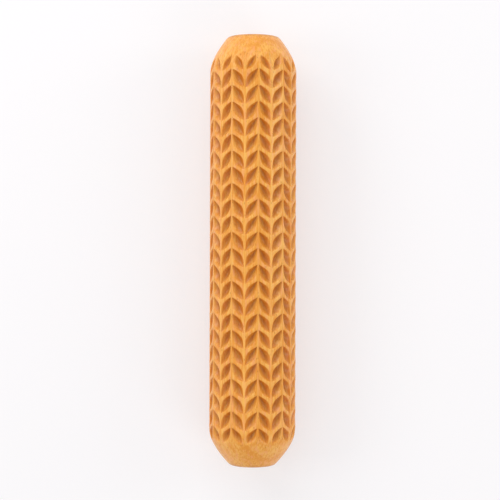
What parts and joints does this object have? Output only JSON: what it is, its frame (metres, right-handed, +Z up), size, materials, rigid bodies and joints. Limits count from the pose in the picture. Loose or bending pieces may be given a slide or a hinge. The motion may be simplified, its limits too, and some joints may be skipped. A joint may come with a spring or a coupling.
{
  "type": "clay texture roller",
  "caption": "Solid hardwood hand roller, bevelled at both ends and carved all over with stems of paired leaf pockets, for pressing a leaf texture into clay.",
  "frame": {"origin": "middle of the bar: on the turning axis, halfway between the end faces", "axes": "+Y along the turning axis, the way the leaves' upper tips point; +Z up from the surface the roller lies on; +X to the right, seen from above with +Y away"},
  "size_m": [0.04, 0.1984, 0.04],
  "materials": {
    "oiled_hardwood": "oiled satin, fine straight grain along the bar with short dark flecks"
  },
  "bodies": {
    "root": {"carved_roller": "oiled_hardwood"}
  },
  "joints": []
}
